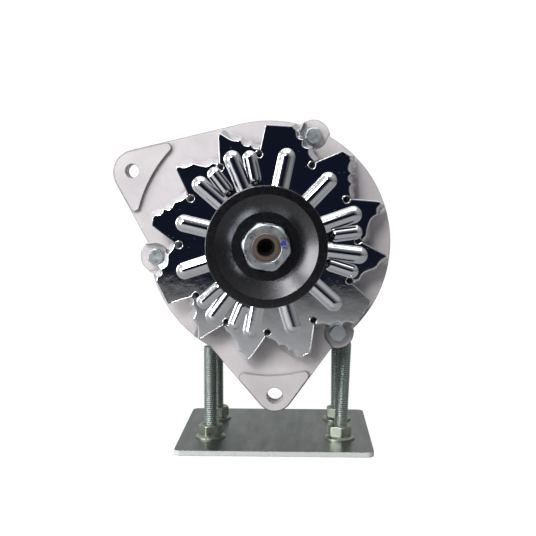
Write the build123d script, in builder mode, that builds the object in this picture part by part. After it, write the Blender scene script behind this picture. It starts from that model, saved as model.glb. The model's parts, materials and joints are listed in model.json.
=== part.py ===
"""Externally fanned claw-pole alternator on a four-stud display stand.

Row frame: +Z up, the pulley end faces -Y, and the origin is the centre of the stand plate's underside.
Depths along the shaft, u, are millimetres behind the drive-end bracket's front face.
"""

import math
import os

from build123d import *

# ---- stand ---------------------------------------------------------------------------------------
PLATE_WIDTH, PLATE_DEPTH, PLATE_THICKNESS, PLATE_CORNER = 115.0, 102.0, 3.0, 4.0
STUD_DIAMETER = 8.0
STUD_PITCH_X, STUD_PITCH_Y, STUD_SHIFT_Y = 78.0, 46.0, 2.5
STUD_THREAD_PITCH = 1.25
STAND_NUT_FLATS, STAND_NUT_HEIGHT, STAND_FLANGE_DIAMETER, STAND_FLANGE_HEIGHT = 13.0, 8.0, 18.0, 1.6
SEAT_CLEARANCE = 0.15

# ---- where the machine sits on the stand ---------------------------------------------------------
SHAFT_X, SHAFT_Z = -3.0, 122.0
BRACKET_Y = -41.5

# ---- drive-end bracket ---------------------------------------------------------------------------
FACE_RADIUS, FACE_THICKNESS = 69.0, 10.0
BODY_RADIUS, BODY_WALL = 71.0, 4.0
BRACKET_BACK = 36.0
EAR_PAD_RADIUS, EAR_PAD_HEIGHT, EAR_PAD_INSET, EAR_PAD_CORNER = 76.7, 2.0, 0.8, 2.5
PIVOT_EAR_ANGLE, PIVOT_EAR_REACH, PIVOT_EAR_RADIUS = 272.2, 87.1, 11.0
PIVOT_HOLE_REACH, PIVOT_HOLE_DIAMETER = 88.3, 9.2
ADJUST_EAR_ANGLE, ADJUST_EAR_REACH, ADJUST_EAR_RADIUS = 152.3, 85.7, 13.0
ADJUST_HOLE_REACH, ADJUST_HOLE_DIAMETER = 87.6, 8.0
PIVOT_FLANK_OFFSET, ADJUST_FLANK_OFFSET = 64.7, 61.0
VENT_COUNT, VENT_INNER, VENT_OUTER, VENT_SPOKE, VENT_CORNER = 6, 32.0, 50.0, 9.0, 1.5
SHELL_FRONT_WALL = 10.0
BOLT_COUNT, BOLT_CIRCLE_RADIUS, BOLT_FIRST_ANGLE = 3, 65.5, 67.3
BOSS_RADIUS, LUG_RADIUS, POCKET_RADIUS, POCKET_DEPTH = 9.3, 8.3, 7.7, 4.0

# ---- through bolts -------------------------------------------------------------------------------
BOLT_DIAMETER, BOLT_HOLE_DIAMETER = 5.0, 5.4
BOLT_HEAD_FLATS, BOLT_HEAD_HEIGHT = 8.0, 3.5
BOLT_WASHER_DIAMETER, BOLT_WASHER_THICKNESS = 9.4, 1.2
BOLT_THREAD_PAST_NUT = 2.5
BOLT_NUT_HEIGHT = 4.0

# ---- bearings: 6303 at the drive end, 6202 at the slip-ring end ----------------------------------
FRONT_BEARING_BORE, FRONT_BEARING_OUTER, FRONT_BEARING_WIDTH = 17.0, 47.0, 14.0
REAR_BEARING_BORE, REAR_BEARING_OUTER, REAR_BEARING_WIDTH = 15.0, 35.0, 11.0
FRONT_BALL_DIAMETER, FRONT_BALL_COUNT = 8.7, 7
REAR_BALL_DIAMETER, REAR_BALL_COUNT = 5.9, 8
BALL_CLEARANCE = 0.05
FRONT_BEARING_U, REAR_BEARING_U = 4.0, 81.0
HUB_WALL, HUB_LIP_CLEARANCE = 4.0, 4.5
RACE_SHARE, CAGE_RIM, CAGE_THICKNESS = 0.3, 1.0, 1.2
RETAINER_SCREW_CIRCLE, RETAINER_SCREW_LENGTH, RETAINER_HEAD_HEIGHT, RETAINER_OVERLAP = 29.0, 12.0, 2.5, 2.5
RETAINER_THICKNESS, RETAINER_SCREW_COUNT, RETAINER_SCREW_DIAMETER = 2.0, 3, 4.0

# ---- stator and rotor ----------------------------------------------------------------------------
STATOR_DEPTH, STATOR_SLOTS, SLOT_WIDTH, SLOT_OUTER = 30.0, 36, 4.4, 60.5
WINDING_OVERHANG = 9.0
STATOR_STEP, SLOT_LIP, SLOT_LINER = 0.6, 1.5, 0.3
AIR_GAP = 0.4
ROTOR_RADIUS = 48.0
POLE_PAIRS, POLE_DISC_RADIUS, POLE_DISC_THICKNESS = 6, 34.0, 11.0
CLAW_ROOT_WIDTH, CLAW_TIP_WIDTH, CLAW_THICKNESS, CLAW_TIP_THICKNESS = 21.0, 9.0, 10.0, 4.0
ROTOR_FRONT_U, ROTOR_DEPTH = 31.0, 40.0
COIL_RADIUS, CLAW_TIP_SETBACK, CLAW_ROOT_SINK = 35.0, 2.0, 6.0
SHAFT_RADIUS, SHAFT_THREAD_DIAMETER, SHAFT_REAR_RADIUS = 8.5, 16.0, 7.5
SHAFT_FRONT_U, SHAFT_BACK_U = -45.0, 120.0
SOCKET_DIAMETER, SOCKET_DEPTH, SOCKET_HEX_FLATS, SOCKET_HEX_DEPTH = 9.4, 4.0, 6.0, 6.0

# ---- pulley, nut, fan ----------------------------------------------------------------------------
PULLEY_FRONT_U, PULLEY_BACK_U, PULLEY_RADIUS = -42.0, -16.0, 32.5
RIM_FACE_INNER, CONE_INNER, CONE_DEPTH = 27.6, 18.5, 7.0
GROOVE_TOP_WIDTH, GROOVE_DEPTH, GROOVE_HALF_ANGLE = 13.0, 11.5, 18.0
NUT_FLATS, NUT_HEIGHT, NUT_CHAMFER = 24.0, 9.0, 1.6
NUT_TURN = 6.0
LOCK_WASHER_DIAMETER, LOCK_WASHER_THICKNESS, LOCK_WASHER_SPLIT = 25.0, 1.8, 1.5
KEY_WIDTH, KEY_LENGTH, KEY_DIAMETER, KEY_STAND, KEY_CLEARANCE = 4.0, 13.0, 13.0, 2.0, 0.05
SPACER_WALL, PULLEY_SPACER_RADIUS = 3.0, 16.0
FAN_SHEET, FAN_FRONT_U, FAN_TIP_RADIUS = 1.6, -12.0, 67.0
FAN_HOLE_CIRCLE, FAN_HOLE_RADIUS, FAN_BORE_RADIUS = 49.7, 2.2, SHAFT_RADIUS
FAN_VANE_LENGTH, FAN_VANE_ANGLE, FAN_BEND_DEGREES = 8.5, 17.2, 62.0
FAN_REPEATS = 3
# One third of the fan: (relief hole angle, tooth tip start after it), both clockwise from the top.
FAN_TEETH = [(-5.8, 4.8), (29.2, 9.7), (60.4, 10.1), (87.9, 7.5)]
# Beads of the same third: (clockwise angle, inner radius, outer radius, width).
FAN_BEADS = [(12.0, 24.0, 53.3, 8.0), (43.6, 24.0, 52.4, 8.0), (71.0, 24.0, 54.0, 8.0),
             (82.3, 35.0, 52.0, 6.4), (97.0, 24.0, 55.0, 8.0), (108.0, 34.0, 52.0, 6.4)]
BEAD_HEIGHT = 2.4
VANE_WAVES, VANE_WAVE_HEIGHT = 3, 0.9

# ---- slip-ring end -------------------------------------------------------------------------------
REAR_BRACKET_DEPTH = 34.0
REAR_SLOT_COUNT = 18
SLIP_RING_RADIUS, SLIP_RING_WIDTH, SLIP_RING_GAP = 12.0, 6.0, 2.0
SLIP_RING_U = 102.0
BRUSH_SIZE, BRUSH_LENGTH, BRUSH_CLEARANCE = 5.0, 14.0, 0.2
SPRING_WIRE, SPRING_DIAMETER, SPRING_TURNS = 0.6, 4.2, 4
HOLDER_WIDTH, HOLDER_HEIGHT, HOLDER_WALL = 14.0, 26.0, 2.5
REAR_SLOT_LENGTH, REAR_SLOT_WIDTH, REAR_WALL = 18.0, 7.0, 4.0
REAR_WINDOW_DEPTH, REAR_WINDOW_INSET = 6.0, 1.0
COVER_RADIUS, COVER_DEPTH, COVER_WALL, COVER_CORNER = 59.0, 30.0, 2.0, 3.0
COVER_SLOT_COUNT, COVER_SLOT_WIDTH = 9, 4.0
COVER_STUD_CIRCLE, COVER_STUD_DIAMETER, COVER_STUD_ANGLES = 53.0, 4.0, (30, 150, 270)
COVER_NUT_FLATS, COVER_NUT_HEIGHT = 7.0, 3.2
RECTIFIER_INNER, RECTIFIER_OUTER, RECTIFIER_THICKNESS, RECTIFIER_GAP = 28.0, 47.0, 3.0, 7.0
RECTIFIER_OPENING = 120.0
POST_CIRCLE, POST_DIAMETER, POST_ANGLES, POST_SCREW_DIAMETER = 37.5, 10.0, (190, 270, 350), 4.0
DIODE_DIAMETER, DIODE_HEIGHT, DIODE_ANGLES = 11.0, 4.0, (168, 240, 305)
TERMINAL_DIAMETER, TERMINAL_ANGLE, TERMINAL_CIRCLE, TERMINAL_REACH = 6.0, 215.0, 37.5, 16.0
TERMINAL_NUT_FLATS, TERMINAL_NUT_HEIGHT, INSULATOR_DIAMETER, INSULATOR_HEIGHT = 10.0, 5.0, 14.0, 4.0
REGULATOR_WIDTH, REGULATOR_HEIGHT, REGULATOR_DEPTH = 32.0, 13.0, 15.0

# ---- worked out from the above -------------------------------------------------------------------
STATOR_U = BRACKET_BACK
REAR_BRACKET_U = STATOR_U + STATOR_DEPTH
REAR_FACE_U = REAR_BRACKET_U + REAR_BRACKET_DEPTH
COVER_BACK_U = REAR_FACE_U + COVER_DEPTH
STATOR_BORE = ROTOR_RADIUS + AIR_GAP
BEAD_WALL = FAN_SHEET * 0.75

SHAFT_AXIS = Axis((SHAFT_X, BRACKET_Y, SHAFT_Z), (0, 1, 0))
PROFILE = Plane(origin=(SHAFT_X, BRACKET_Y, SHAFT_Z), x_dir=(0, 1, 0), z_dir=(1, 0, 0))


def station(u):
    """Plane square to the shaft at depth u, facing the pulley end, with +X right and +Z up."""
    return Plane(origin=(SHAFT_X, BRACKET_Y + u, SHAFT_Z), x_dir=(1, 0, 0), z_dir=(0, -1, 0))


def polar(radius, angle):
    """Point at radius and anticlockwise angle from +X, in a station's own axes."""
    return (radius * math.cos(math.radians(angle)), radius * math.sin(math.radians(angle)))


def clock(radius, angle):
    """Point at radius and clockwise angle from the top, in a station's own axes."""
    return polar(radius, 90 - angle)


def outward(u, radius, angle, along=1):
    """Plane at depth u, radius and angle that faces straight out, with its x along the shaft."""
    heading = polar(1, angle)
    return Plane(origin=station(u).from_local_coords(polar(radius, angle) + (0,)), x_dir=(0, along, 0),
                 z_dir=(heading[0], 0, heading[1]))


def band(u0, u1, r0, r1):
    """Rectangle of a turned profile, from depth u0 to u1 and radius r0 to r1."""
    with Locations(((u0 + u1) / 2, (r0 + r1) / 2)):
        Rectangle(u1 - u0, r1 - r0)


def write(part, name):
    """Labels a finished piece and writes its STEP file."""
    part.label = name
    export_step(part, f"parts/{name}.step")


os.makedirs("parts", exist_ok=True)
bolt_spots = [polar(BOLT_CIRCLE_RADIUS, BOLT_FIRST_ANGLE + 360 / BOLT_COUNT * i) for i in range(BOLT_COUNT)]

# ---- stand ---------------------------------------------------------------------------------------
stud_spots = [(x * STUD_PITCH_X / 2, STUD_SHIFT_Y + y * STUD_PITCH_Y / 2) for x in (-1, 1) for y in (-1, 1)]
flats_to_radius = 1 / math.sqrt(3)

with BuildPart() as stand_plate:
    with BuildSketch():
        RectangleRounded(PLATE_WIDTH, PLATE_DEPTH, PLATE_CORNER)
    extrude(amount=PLATE_THICKNESS)
    with Locations(*[(x, y, PLATE_THICKNESS) for x, y in stud_spots]):
        Hole(STUD_DIAMETER / 2, PLATE_THICKNESS)
write(stand_plate.part, "stand_plate")


def stud_top(x):
    """Height at which a stud just meets the round body, or a through-bolt lug, that lies on the studs."""
    lowest = SHAFT_Z
    for centre_x, centre_z, radius in [(0, 0, BODY_RADIUS)] + [spot + (LUG_RADIUS,) for spot in bolt_spots]:
        away = abs(x - SHAFT_X - centre_x)
        nearest = max(away - STUD_DIAMETER / 2, 0)
        if nearest < radius:
            lowest = min(lowest, SHAFT_Z + centre_z - math.sqrt(radius**2 - nearest**2))
    return lowest - SEAT_CLEARANCE


with BuildPart() as stand_studs:
    for spot_x, spot_y in stud_spots:
        with Locations((spot_x, spot_y, 0)):
            Cylinder(STUD_DIAMETER / 2, stud_top(spot_x), align=(Align.CENTER, Align.CENTER, Align.MIN))
    chamfer(stand_studs.faces().filter_by(Axis.Z).edges(), STUD_THREAD_PITCH / 2)
write(stand_studs.part, "stand_studs")

with BuildPart() as stand_nuts:
    with BuildSketch(Plane.XY.offset(PLATE_THICKNESS)):
        with Locations(*stud_spots):
            Circle(STAND_FLANGE_DIAMETER / 2)
    extrude(amount=STAND_FLANGE_HEIGHT)
    with BuildSketch(Plane.XY.offset(PLATE_THICKNESS + STAND_FLANGE_HEIGHT)):
        with Locations(*stud_spots):
            RegularPolygon(STAND_NUT_FLATS * flats_to_radius, 6)
    extrude(amount=STAND_NUT_HEIGHT - STAND_FLANGE_HEIGHT)
    chamfer(stand_nuts.faces().group_by(Axis.Z)[-1].edges(), 0.8)
    with BuildSketch(Plane.XY.offset(PLATE_THICKNESS)):
        with Locations(*stud_spots):
            Circle(STUD_DIAMETER / 2)
    extrude(amount=STAND_NUT_HEIGHT, mode=Mode.SUBTRACT)
write(stand_nuts.part, "stand_nuts")

# ---- drive-end bracket ---------------------------------------------------------------------------


class Ear:
    """Mounting ear: a round tip joined to the face disc by two straight flanks, low and high in angle."""

    def __init__(self, angle, reach, radius, low_offset, high_offset, hole_reach, hole_diameter):
        self.angle, self.radius = angle, radius
        self.tip = polar(reach, angle)
        self.nose = polar(reach + radius, angle)
        self.offsets = (low_offset, high_offset)
        spread = [math.degrees(math.acos((offset - radius) / reach)) for offset in self.offsets]
        self.flanks = (angle - spread[0], angle + spread[1])
        self.hole = polar(hole_reach, angle)
        self.hole_diameter = hole_diameter

    def outline(self):
        """The ear's flat shape, with its root inside the face disc."""
        roots = [polar(offset, flank) for offset, flank in zip(self.offsets, self.flanks)]
        feet = [(self.tip[0] + polar(self.radius, flank)[0], self.tip[1] + polar(self.radius, flank)[1])
                for flank in self.flanks]
        with BuildSketch() as shape:
            with BuildLine():
                Polyline(feet[0], roots[0], (0, 0), roots[1], feet[1])
                ThreePointArc(feet[1], self.nose, feet[0])
            make_face()
        return shape.sketch

    def pad(self):
        """The raised pad's shape: the ear beyond a circle round the shaft, with rounded corners."""
        with BuildSketch() as shape:
            add(self.outline())
            offset(amount=-EAR_PAD_INSET)
            Circle(EAR_PAD_RADIUS, mode=Mode.SUBTRACT)
            fillet([v for v in shape.vertices() if math.hypot(v.X, v.Y) < EAR_PAD_RADIUS + 0.1],
                   EAR_PAD_CORNER)
        return shape.sketch


pivot_ear = Ear(PIVOT_EAR_ANGLE, PIVOT_EAR_REACH, PIVOT_EAR_RADIUS, PIVOT_FLANK_OFFSET, PIVOT_FLANK_OFFSET,
                PIVOT_HOLE_REACH, PIVOT_HOLE_DIAMETER)
adjust_ear = Ear(ADJUST_EAR_ANGLE, ADJUST_EAR_REACH, ADJUST_EAR_RADIUS, FACE_RADIUS, ADJUST_FLANK_OFFSET,
                 ADJUST_HOLE_REACH, ADJUST_HOLE_DIAMETER)

hub_outer = FRONT_BEARING_OUTER / 2 + HUB_WALL
retainer_u = FRONT_BEARING_U + FRONT_BEARING_WIDTH
body_inner = BODY_RADIUS - BODY_WALL
retainer_spots = [polar(RETAINER_SCREW_CIRCLE, 90 + 360 / RETAINER_SCREW_COUNT * i)
                  for i in range(RETAINER_SCREW_COUNT)]


def vents(count, inner, outer, spoke):
    """Kidney windows between straight spokes, as a flat shape."""
    with BuildSketch() as shape:
        Circle(outer)
        Circle(inner, mode=Mode.SUBTRACT)
        with PolarLocations((inner + outer) / 2, count):
            Rectangle(2 * (outer - inner), spoke, mode=Mode.SUBTRACT)
        fillet(shape.vertices(), VENT_CORNER)
    return shape.sketch


with BuildPart() as drive_end_bracket:
    with BuildSketch(station(FACE_THICKNESS)):
        Circle(FACE_RADIUS)
        add(pivot_ear.outline())
        add(adjust_ear.outline())
        with Locations(*bolt_spots):
            Circle(BOSS_RADIUS)
    extrude(amount=FACE_THICKNESS)
    with BuildSketch(station(0)):
        add(pivot_ear.pad())
        add(adjust_ear.pad())
    extrude(amount=EAR_PAD_HEIGHT)
    # Round shell behind the face, and lugs that carry the through bolts back to the stator.
    with BuildSketch(station(BRACKET_BACK)):
        Circle(BODY_RADIUS)
        with Locations(*bolt_spots):
            Circle(LUG_RADIUS)
    extrude(amount=BRACKET_BACK - FACE_THICKNESS)
    with BuildSketch(station(BRACKET_BACK)):
        Circle(body_inner)
        with Locations(*bolt_spots):
            Circle(BOLT_HOLE_DIAMETER / 2 + 3, mode=Mode.SUBTRACT)
    extrude(amount=BRACKET_BACK - SHELL_FRONT_WALL, mode=Mode.SUBTRACT)
    # Bearing hub stands inside the shell.
    with BuildSketch(PROFILE):
        band(SHELL_FRONT_WALL, retainer_u, 0, hub_outer)
    revolve(axis=SHAFT_AXIS)
    with BuildSketch(station(retainer_u)):
        with Locations(*retainer_spots):
            Circle(RETAINER_SCREW_DIAMETER)
    extrude(amount=retainer_u - SHELL_FRONT_WALL)
    with BuildSketch(PROFILE):
        band(-1, retainer_u, 0, FRONT_BEARING_BORE / 2 + HUB_LIP_CLEARANCE)
        band(FRONT_BEARING_U, retainer_u, 0, FRONT_BEARING_OUTER / 2)
    revolve(axis=SHAFT_AXIS, mode=Mode.SUBTRACT)
    with BuildSketch(station(SHELL_FRONT_WALL)):
        add(vents(VENT_COUNT, VENT_INNER, VENT_OUTER, VENT_SPOKE))
    extrude(amount=SHELL_FRONT_WALL, mode=Mode.SUBTRACT)
    # Pockets for the bolt heads run out through the bracket's edge.
    with BuildSketch(station(POCKET_DEPTH)):
        for spot in bolt_spots:
            reach = math.hypot(*spot)
            angle = math.degrees(math.atan2(spot[1], spot[0]))
            with Locations(Location((spot[0], spot[1], 0), (0, 0, angle))):
                SlotCenterPoint((POCKET_RADIUS, 0), (0, 0), 2 * POCKET_RADIUS)
    extrude(amount=POCKET_DEPTH + EAR_PAD_HEIGHT, mode=Mode.SUBTRACT)
    with BuildSketch(station(BRACKET_BACK)):
        with Locations(*bolt_spots):
            Circle(BOLT_HOLE_DIAMETER / 2)
    extrude(amount=BRACKET_BACK, mode=Mode.SUBTRACT)
    with BuildSketch(station(FACE_THICKNESS)):
        with Locations(pivot_ear.hole):
            Circle(pivot_ear.hole_diameter / 2)
        with Locations(adjust_ear.hole):
            Circle(adjust_ear.hole_diameter / 2)
    extrude(amount=FACE_THICKNESS + EAR_PAD_HEIGHT, mode=Mode.SUBTRACT)
    with BuildSketch(station(retainer_u)):
        with Locations(*retainer_spots):
            Circle(RETAINER_SCREW_DIAMETER / 2)
    extrude(amount=RETAINER_SCREW_LENGTH, mode=Mode.SUBTRACT)
write(drive_end_bracket.part, "drive_end_bracket")

# ---- bearings ------------------------------------------------------------------------------------


def bearing(name, bore, outer, width, u, ball, count):
    """Deep-groove ball bearing: two grooved races with balls and their cage between."""
    pitch = (bore + outer) / 4
    middle = u + width / 2
    race = (outer - bore) / 2 * RACE_SHARE
    groove = ball / 2 + BALL_CLEARANCE
    for side, low, high in (("inner", bore / 2, bore / 2 + race), ("outer", outer / 2 - race, outer / 2)):
        with BuildPart() as ring:
            with BuildSketch(PROFILE):
                band(u, u + width, low, high)
                with Locations((middle, pitch)):
                    Circle(groove, mode=Mode.SUBTRACT)
            revolve(axis=SHAFT_AXIS)
        write(ring.part, f"{name}_{side}_race")
    spots = [station(middle) * Location(clock(pitch, 360 / count * (i + 0.5)) + (0,)) for i in range(count)]
    with BuildPart() as balls:
        with Locations(*spots):
            Sphere(ball / 2)
    write(balls.part, f"{name}_balls")
    with BuildPart() as cage:
        with BuildSketch(PROFILE):
            band(middle - ball / 2 - CAGE_RIM, middle + ball / 2 + CAGE_RIM,
                 pitch - CAGE_THICKNESS / 2, pitch + CAGE_THICKNESS / 2)
        revolve(axis=SHAFT_AXIS)
        for i in range(count):
            with Locations(outward(middle, pitch, 90 - 360 / count * (i + 0.5))):
                Cylinder(groove, ball, mode=Mode.SUBTRACT)
    write(cage.part, f"{name}_cage")


bearing("front_bearing", FRONT_BEARING_BORE, FRONT_BEARING_OUTER, FRONT_BEARING_WIDTH, FRONT_BEARING_U,
        FRONT_BALL_DIAMETER, FRONT_BALL_COUNT)
bearing("rear_bearing", REAR_BEARING_BORE, REAR_BEARING_OUTER, REAR_BEARING_WIDTH, REAR_BEARING_U,
        REAR_BALL_DIAMETER, REAR_BALL_COUNT)

with BuildPart() as bearing_retainer:
    with BuildSketch(station(retainer_u + RETAINER_THICKNESS)):
        Circle(hub_outer)
        with Locations(*retainer_spots):
            Circle(RETAINER_SCREW_DIAMETER)
        Circle(FRONT_BEARING_OUTER / 2 - RETAINER_OVERLAP, mode=Mode.SUBTRACT)
        with Locations(*retainer_spots):
            Circle(RETAINER_SCREW_DIAMETER / 2, mode=Mode.SUBTRACT)
    extrude(amount=RETAINER_THICKNESS)
write(bearing_retainer.part, "bearing_retainer")

with BuildPart() as retainer_screws:
    with BuildSketch(station(retainer_u + RETAINER_THICKNESS)):
        with Locations(*retainer_spots):
            Circle(RETAINER_SCREW_DIAMETER / 2)
    extrude(amount=RETAINER_SCREW_LENGTH)
    with BuildSketch(station(retainer_u + RETAINER_THICKNESS + RETAINER_HEAD_HEIGHT)):
        with Locations(*retainer_spots):
            Circle(RETAINER_SCREW_DIAMETER * 0.9)
    extrude(amount=RETAINER_HEAD_HEIGHT)
write(retainer_screws.part, "retainer_screws")

# ---- stator --------------------------------------------------------------------------------------
stator_radius = BODY_RADIUS - STATOR_STEP
winding_middle = (STATOR_BORE + SLOT_OUTER) / 2

with BuildPart() as stator_core:
    with BuildSketch(station(STATOR_U + STATOR_DEPTH)):
        Circle(stator_radius)
        with Locations(*bolt_spots):
            Circle(LUG_RADIUS)
            Circle(BOLT_HOLE_DIAMETER / 2, mode=Mode.SUBTRACT)
        Circle(STATOR_BORE, mode=Mode.SUBTRACT)
        with PolarLocations(winding_middle, STATOR_SLOTS):
            Rectangle(SLOT_OUTER - STATOR_BORE - 2 * SLOT_LIP, SLOT_WIDTH, mode=Mode.SUBTRACT)
        with PolarLocations(STATOR_BORE, STATOR_SLOTS):
            Rectangle(4 * SLOT_LIP, SLOT_WIDTH / 2, mode=Mode.SUBTRACT)
    extrude(amount=STATOR_DEPTH)
write(stator_core.part, "stator_core")

with BuildPart() as stator_windings:
    with BuildSketch(station(STATOR_U + STATOR_DEPTH)):
        with PolarLocations(winding_middle, STATOR_SLOTS):
            Rectangle(SLOT_OUTER - STATOR_BORE - 2 * SLOT_LIP - 2 * SLOT_LINER, SLOT_WIDTH - 2 * SLOT_LINER)
    extrude(amount=STATOR_DEPTH)
    with BuildSketch(PROFILE):
        for edge, away in ((STATOR_U, -1), (STATOR_U + STATOR_DEPTH, 1)):
            with Locations((edge + away * WINDING_OVERHANG / 2, winding_middle)):
                ring_depth = SLOT_OUTER - STATOR_BORE - 2 * SLOT_LIP - 2 * SLOT_LINER
                RectangleRounded(WINDING_OVERHANG, ring_depth, 2.5)
    revolve(axis=SHAFT_AXIS)
write(stator_windings.part, "stator_windings")

# ---- rotor ---------------------------------------------------------------------------------------
rear_pole_u = ROTOR_FRONT_U + ROTOR_DEPTH


def claw_pole(name, disc_front_u, direction, turn):
    """Claw pole: a disc at disc_front_u with tapered claws that reach in a direction along the shaft."""
    root_u = disc_front_u if direction > 0 else disc_front_u + POLE_DISC_THICKNESS
    claw_length = ROTOR_DEPTH - CLAW_TIP_SETBACK
    with BuildPart() as pole:
        with BuildSketch(PROFILE):
            band(disc_front_u, disc_front_u + POLE_DISC_THICKNESS, SHAFT_RADIUS, POLE_DISC_RADIUS)
        revolve(axis=SHAFT_AXIS)
        for i in range(POLE_PAIRS):
            heading = outward(root_u, ROTOR_RADIUS, turn + 360 / POLE_PAIRS * i, direction)
            with BuildSketch(heading):
                with BuildLine():
                    Polyline((0, -CLAW_ROOT_WIDTH / 2), (POLE_DISC_THICKNESS, -CLAW_ROOT_WIDTH / 2),
                             (claw_length, -CLAW_TIP_WIDTH / 2), (claw_length, CLAW_TIP_WIDTH / 2),
                             (POLE_DISC_THICKNESS, CLAW_ROOT_WIDTH / 2), (0, CLAW_ROOT_WIDTH / 2),
                             close=True)
                make_face()
            extrude(amount=-CLAW_THICKNESS)
            with BuildSketch(heading):
                with Locations((POLE_DISC_THICKNESS / 2, 0)):
                    Rectangle(POLE_DISC_THICKNESS, CLAW_ROOT_WIDTH)
            extrude(amount=-(ROTOR_RADIUS - POLE_DISC_RADIUS + CLAW_ROOT_SINK))
        # Claws are turned to the rotor radius outside and thin towards their tips inside.
        tip_inner = ROTOR_RADIUS - CLAW_TIP_THICKNESS
        far_u = root_u + direction * claw_length
        start_u = root_u + direction * POLE_DISC_THICKNESS
        with BuildSketch(PROFILE):
            with BuildLine():
                Polyline((start_u, ROTOR_RADIUS - CLAW_THICKNESS), (far_u + direction, tip_inner),
                         (far_u + direction, SHAFT_RADIUS), (start_u, SHAFT_RADIUS), close=True)
            make_face()
        revolve(axis=SHAFT_AXIS, mode=Mode.SUBTRACT)
        with BuildSketch(PROFILE):
            band(ROTOR_FRONT_U - 1, rear_pole_u + 1, SHAFT_RADIUS, ROTOR_RADIUS)
        revolve(axis=SHAFT_AXIS, mode=Mode.INTERSECT)
    write(pole.part, name)


claw_pole("front_claw_pole", ROTOR_FRONT_U, 1, 0)
claw_pole("rear_claw_pole", rear_pole_u - POLE_DISC_THICKNESS, -1, 180 / POLE_PAIRS)

with BuildPart() as field_coil:
    with BuildSketch(PROFILE):
        band(ROTOR_FRONT_U + POLE_DISC_THICKNESS, rear_pole_u - POLE_DISC_THICKNESS,
             SHAFT_RADIUS, COIL_RADIUS)
    revolve(axis=SHAFT_AXIS)
write(field_coil.part, "field_coil")

slip_rings_back = SLIP_RING_U + 2 * SLIP_RING_WIDTH + SLIP_RING_GAP
with BuildPart() as rotor_shaft:
    with BuildSketch(PROFILE):
        band(SHAFT_FRONT_U, PULLEY_FRONT_U + CONE_DEPTH + LOCK_WASHER_THICKNESS,
             0, SHAFT_THREAD_DIAMETER / 2)
        band(PULLEY_FRONT_U + CONE_DEPTH + LOCK_WASHER_THICKNESS, REAR_BEARING_U, 0, SHAFT_RADIUS)
        band(REAR_BEARING_U, SHAFT_BACK_U, 0, SHAFT_REAR_RADIUS)
    revolve(axis=SHAFT_AXIS)
    chamfer(rotor_shaft.faces().sort_by(Axis.Y)[0].edges(), 1)
    chamfer(rotor_shaft.faces().sort_by(Axis.Y)[-1].edges(), 1)
    with BuildSketch(station(SHAFT_FRONT_U + SOCKET_DEPTH)):
        Circle(SOCKET_DIAMETER / 2)
    extrude(amount=SOCKET_DEPTH, mode=Mode.SUBTRACT)
    with BuildSketch(station(SHAFT_FRONT_U + SOCKET_DEPTH + SOCKET_HEX_DEPTH)):
        RegularPolygon(SOCKET_HEX_FLATS * flats_to_radius, 6)
    extrude(amount=SOCKET_HEX_DEPTH, mode=Mode.SUBTRACT)
    with Locations(Plane(origin=station((PULLEY_BACK_U + PULLEY_FRONT_U + CONE_DEPTH) / 2)
                         .from_local_coords((0, SHAFT_RADIUS, 0)), x_dir=(0, 1, 0), z_dir=(1, 0, 0))):
        Cylinder(KEY_DIAMETER / 2, KEY_WIDTH, mode=Mode.SUBTRACT)
write(rotor_shaft.part, "rotor_shaft")

with BuildPart() as slip_ring_hub:
    with BuildSketch(PROFILE):
        band(SLIP_RING_U - 2, slip_rings_back + 1, SHAFT_REAR_RADIUS, SLIP_RING_RADIUS - 2)
        band(SLIP_RING_U - 2, SLIP_RING_U, SHAFT_REAR_RADIUS, SLIP_RING_RADIUS)
        band(SLIP_RING_U + SLIP_RING_WIDTH, SLIP_RING_U + SLIP_RING_WIDTH + SLIP_RING_GAP,
             SHAFT_REAR_RADIUS, SLIP_RING_RADIUS)
    revolve(axis=SHAFT_AXIS)
write(slip_ring_hub.part, "slip_ring_hub")

with BuildPart() as slip_rings:
    with BuildSketch(PROFILE):
        for i in range(2):
            start_u = SLIP_RING_U + i * (SLIP_RING_WIDTH + SLIP_RING_GAP)
            band(start_u, start_u + SLIP_RING_WIDTH, SLIP_RING_RADIUS - 2, SLIP_RING_RADIUS)
    revolve(axis=SHAFT_AXIS)
write(slip_rings.part, "slip_rings")

# ---- pulley, its key, nut and washer -------------------------------------------------------------
hub_front_u = PULLEY_FRONT_U + CONE_DEPTH
groove_middle_u = (PULLEY_FRONT_U + PULLEY_BACK_U) / 2
groove_bottom_width = GROOVE_TOP_WIDTH - 2 * GROOVE_DEPTH * math.tan(math.radians(GROOVE_HALF_ANGLE))
key_middle = station((PULLEY_BACK_U + hub_front_u) / 2)

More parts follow.
